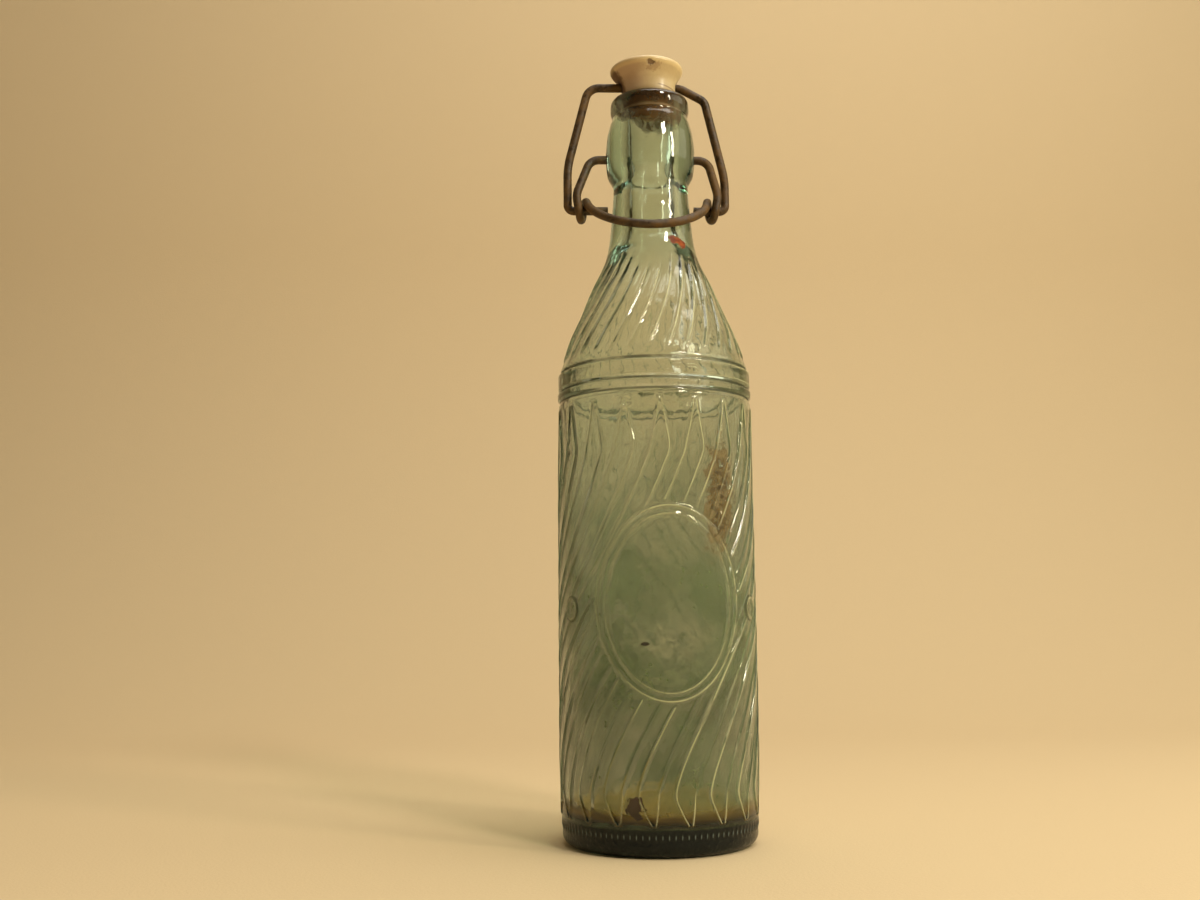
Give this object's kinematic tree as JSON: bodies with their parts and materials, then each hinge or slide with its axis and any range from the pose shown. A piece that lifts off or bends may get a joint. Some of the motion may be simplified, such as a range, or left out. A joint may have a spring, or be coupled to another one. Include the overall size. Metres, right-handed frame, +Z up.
{
  "type": "swing-stopper bottle",
  "caption": "Half-litre moulded glass drink bottle closed by a porcelain stopper with a rubber washer, held by a wire bail and a swinging wire lever on the neck.",
  "frame": {"origin": "middle of the bottle's foot, on the surface it stands on", "axes": "+Z up along the bottle's axis; the front, with the oval and the lever's bow, faces -Y; the lever's ends turn about X"},
  "size_m": [0.0676, 0.0677, 0.2736],
  "materials": {
    "glass": "pressed soda glass, pale aqua green, glossy with shallow moulded relief",
    "porcelain": "glazed white porcelain, opaque, stained and chipped",
    "rubber": "aged red-brown rubber, matte",
    "wire": "round steel wire, rusted dark brown"
  },
  "bodies": {
    "bottle": {"bottle": "glass"},
    "lever": {"lever": "wire"},
    "bail": {"bail": "wire"},
    "stopper": {"stopper": "porcelain", "washer": "rubber"}
  },
  "joints": [
    {"name": "lever_swing", "type": "hinge", "parent": "bottle", "child": "lever", "pos_m": [0, 0, 0.2371], "axis": [-1, 0, 0], "range_deg": [0, 150]},
    {"name": "bail_swing", "type": "hinge", "parent": "lever", "child": "bail", "pos_m": [0, 0.0003, 0.2182], "axis": [-1, 0, 0], "range_deg": [-90, 0]},
    {"name": "stopper_tilt", "type": "hinge", "parent": "bail", "child": "stopper", "pos_m": [0, 0, 0.2642], "axis": [-1, 0, 0], "range_deg": [-60, 0]}
  ],
  "couplings": [
    {"joint": "bail_swing", "follows": "lever_swing", "ratio": -0.6},
    {"joint": "stopper_tilt", "follows": "lever_swing", "ratio": -0.4}
  ]
}
